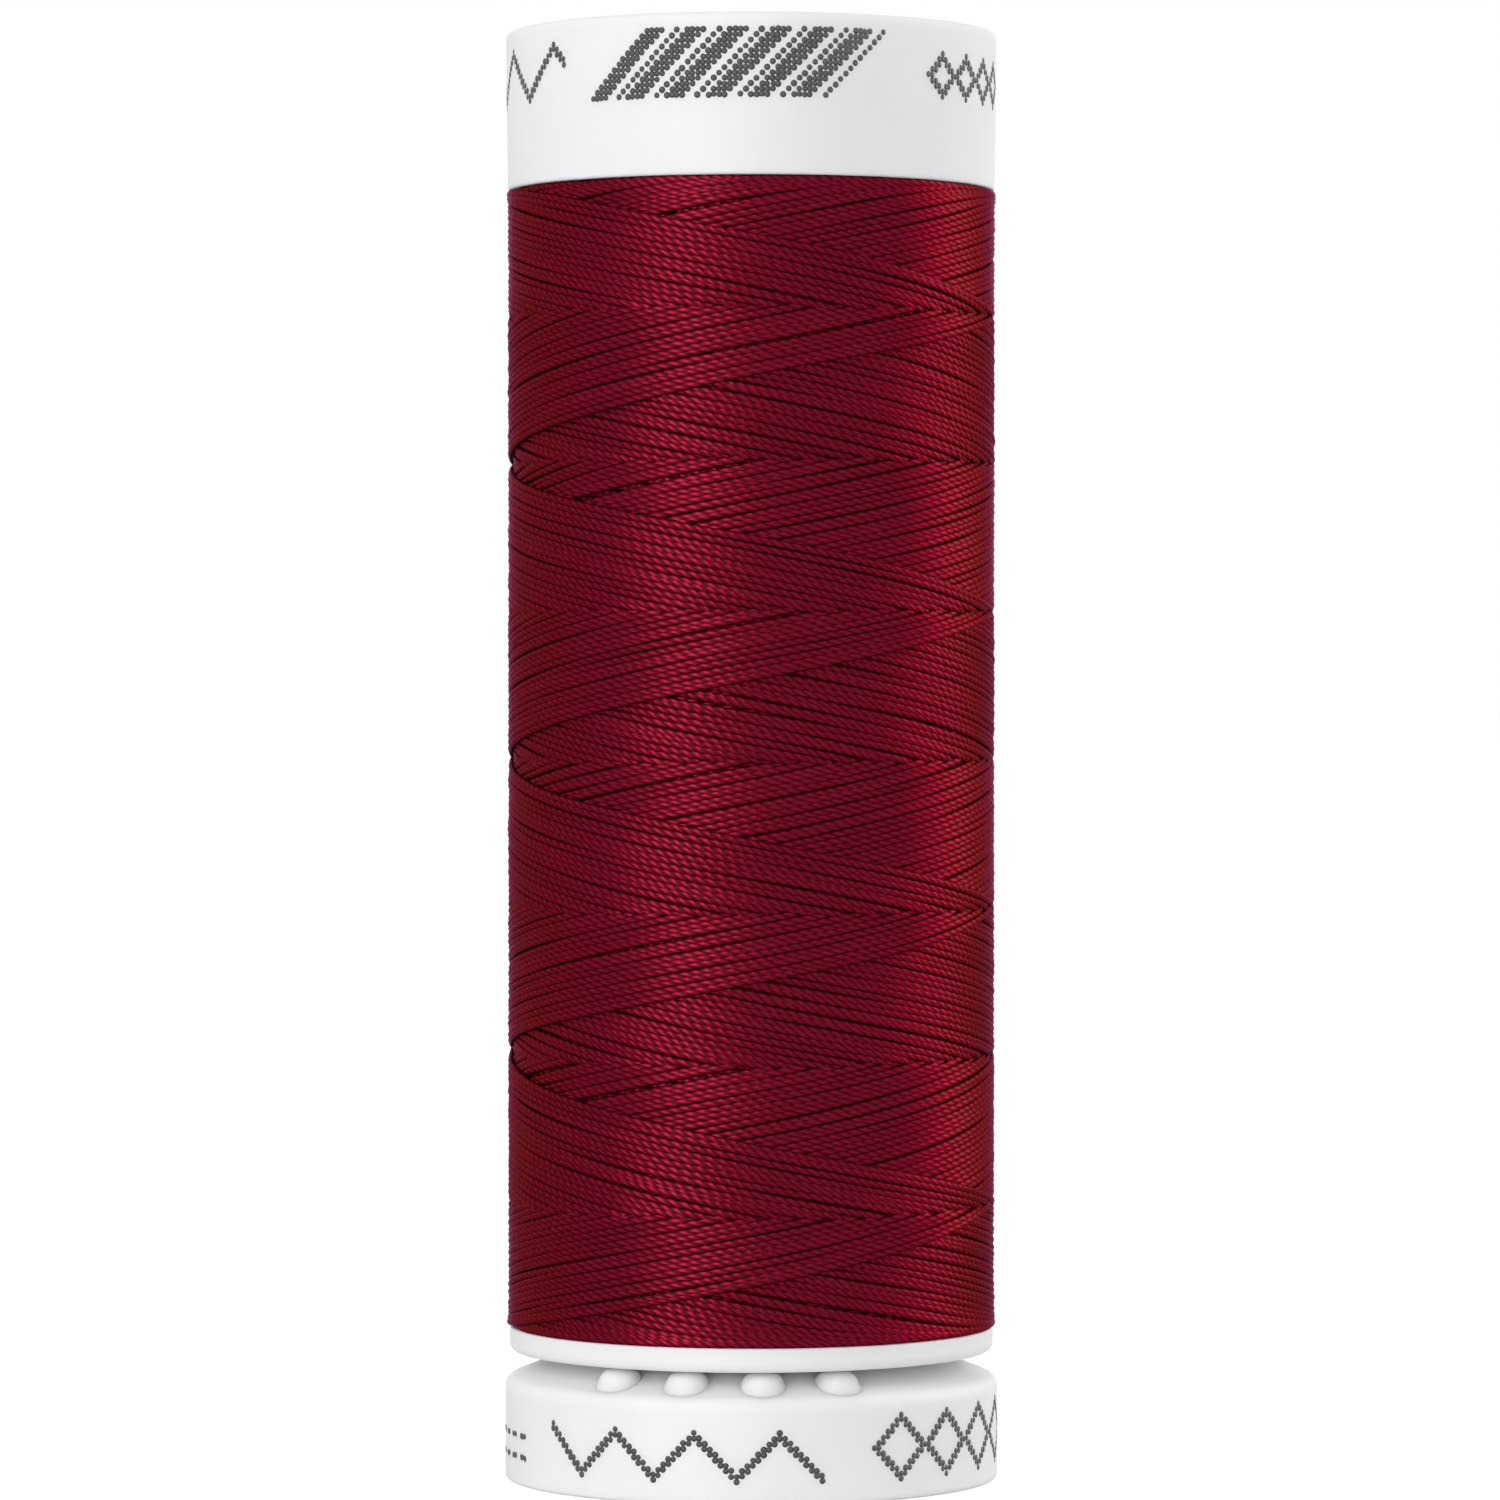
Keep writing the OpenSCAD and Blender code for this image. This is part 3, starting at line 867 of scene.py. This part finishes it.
INK = jetted_ink()
CAP_LEAN = CAP_DRAFT / (TOP_Z - CAP_Z)
cap_marks = printed(
    "cap_marks",
    CAP_R - CAP_LEAN * TOP_Z,
    CAP_LEAN,
    [
        (cord_band(6, 13), -39.0, 62.0),
        (diamonds(4, 4), 45.0, 62.2),
        (zigzag(40, 10), -96.0, 62.2),
        (gauge(61, 5, 8), 128.0, 62.2),
    ],
    21,
)
foot_marks = printed(
    "foot_marks",
    FOOT_R,
    0.0,
    [
        (dashes(5, 3, 2, 1), -92.0, 1.1),
        (dashes(5, 3, 2, 5), -92.0, 1.1),
        (zigzag(57, 9), -52.0, 1.05),
        (diamonds(4, 6), 29.0, 0.95),
        (gauge(61, 5, 8), 120.0, 1.1),
    ],
    22,
)
for marks, body in ((cap_marks, "spool"), (foot_marks, "foot")):
    marks.data.materials.append(INK)
    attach(marks, body)


# ---- Table, light and camera --------------------------------------------------------------------
# The spool stands on a plain pale table in front of a white ground. One soft box stands to the left of
# the camera and one far round to the right, and a long lens looks almost level at the spool.

TABLE_HALF = 3.0
MIDDLE_Z = 0.033


def plain_table():
    """A pale floor that camera rays see as nearly white, with the spool's own soft shadow on it."""
    points = TABLE_HALF * np.array([[-1, -1, 0], [1, -1, 0], [1, 1, 0], [-1, 1, 0]])
    table = make_object("table", points, np.array([[0, 1, 2, 3]]), NO_TRIS)
    material = bpy.data.materials.new("pale table")
    material.use_nodes = True
    tree = material.node_tree
    tree.nodes.clear()
    paint = node(tree, "ShaderNodeBsdfDiffuse", {"Color": (0.8, 0.8, 0.8, 1)})
    glow = node(tree, "ShaderNodeEmission", {"Color": (1, 1, 1, 1), "Strength": 0.90})
    seen = node(tree, "ShaderNodeBsdfDiffuse", {"Color": (0.22, 0.22, 0.22, 1)})
    both = node(tree, "ShaderNodeAddShader", {0: glow.outputs[0], 1: seen.outputs[0]})
    rays = node(tree, "ShaderNodeLightPath")
    mix = node(
        tree,
        "ShaderNodeMixShader",
        {0: rays.outputs["Is Camera Ray"], 1: paint.outputs[0], 2: both.outputs[0]},
    )
    out = node(tree, "ShaderNodeOutputMaterial", {0: mix.outputs[0]})
    table.data.materials.append(material)


def white_ground(ambient):
    """World: white where it is seen, mirrored or shone through, and a dimmer even light."""
    world = bpy.data.worlds.new("white ground")
    bpy.context.scene.world = world
    world.use_nodes = True
    tree = world.node_tree
    rays = node(tree, "ShaderNodeLightPath")
    seen = maths(tree, "MAXIMUM", rays.outputs["Is Camera Ray"], rays.outputs["Is Glossy Ray"])
    seen = maths(tree, "MAXIMUM", seen, rays.outputs["Is Transmission Ray"])
    strength = node(tree, "ShaderNodeMapRange", {"Value": seen, "To Min": ambient, "To Max": 1.0})
    background = tree.nodes["Background"]
    background.inputs["Color"].default_value = (1, 1, 1, 1)
    tree.links.new(strength.outputs[0], background.inputs["Strength"])


def soft_lamp(name, azimuth, height, distance, width, tall, power):
    """A soft box at an azimuth from the front, in degrees to the right, that faces the spool."""
    light = bpy.data.lights.new(name, "AREA")
    light.shape = "RECTANGLE"
    light.size, light.size_y, light.energy = width, tall, power
    lamp = bpy.data.objects.new(name, light)
    a = math.radians(azimuth)
    lamp.location = (distance * math.sin(a), -distance * math.cos(a), height)
    lamp.rotation_euler = (math.atan2(distance, height - MIDDLE_Z), 0, a)
    bpy.context.scene.collection.objects.link(lamp)


plain_table()
white_ground(0.62)
soft_lamp("left lamp", azimuth=-30, height=0.14, distance=0.5, width=0.24, tall=0.60, power=2.0)
soft_lamp("right lamp", azimuth=112, height=0.12, distance=0.5, width=0.20, tall=0.60, power=1.6)

FOCAL_PX, IMAGE_PX, SENSOR = 6650.0, 1500.0, 36.0
CAMERA_X, CAMERA_Y, CAMERA_Z = -0.00006, -0.303, 0.0367
AIM_Z = 0.0331
lens = bpy.data.cameras.new("long lens")
lens.sensor_width = SENSOR
lens.lens = FOCAL_PX / IMAGE_PX * SENSOR
camera = bpy.data.objects.new("camera", lens)
camera.location = (CAMERA_X, CAMERA_Y, CAMERA_Z)
camera.rotation_euler = (math.pi / 2 - math.atan2(CAMERA_Z - AIM_Z, -CAMERA_Y), 0, 0)
bpy.context.scene.collection.objects.link(camera)
bpy.context.scene.camera = camera
bpy.context.scene.view_settings.view_transform = "Standard"
